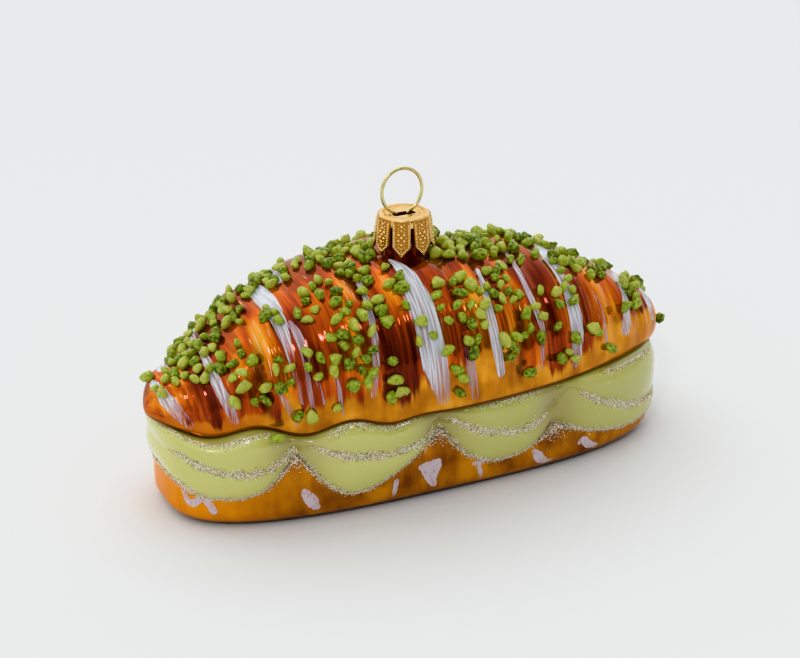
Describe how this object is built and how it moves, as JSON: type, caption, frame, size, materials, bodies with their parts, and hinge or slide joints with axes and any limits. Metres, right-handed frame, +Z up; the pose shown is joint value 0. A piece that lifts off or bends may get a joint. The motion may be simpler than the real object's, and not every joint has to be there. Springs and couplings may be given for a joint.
{
  "type": "filled croissant ornament",
  "caption": "Hanging glass ornament shaped as a filled croissant, with a granule-strewn top crust, piped cream, a flat bottom crust, and a crown cap with a wire ring.",
  "frame": {"origin": "point of the flat base under the middle of the top crust", "axes": "+X along the croissant, -Y its front, +Z up through the cap and ring"},
  "size_m": [0.1254, 0.0524, 0.069],
  "materials": {
    "amber_glass": "mirror-silvered glass under a translucent amber to red-brown lacquer, with white glaze strokes",
    "cream_enamel": "glossy opaque pale green enamel on glass",
    "gold_brass": "thin stamped brass sheet, bright gold, beaded",
    "pale_brass": "pale brass spring wire",
    "granule_green": "dyed mineral granules, matt, olive to lime green",
    "glitter": "silver to champagne glitter flakes"
  },
  "bodies": {
    "root": {"top_crust": "amber_glass", "cream_filling": "cream_enamel", "bottom_crust": "amber_glass", "cap": "gold_brass", "ring": "pale_brass"}
  },
  "joints": []
}
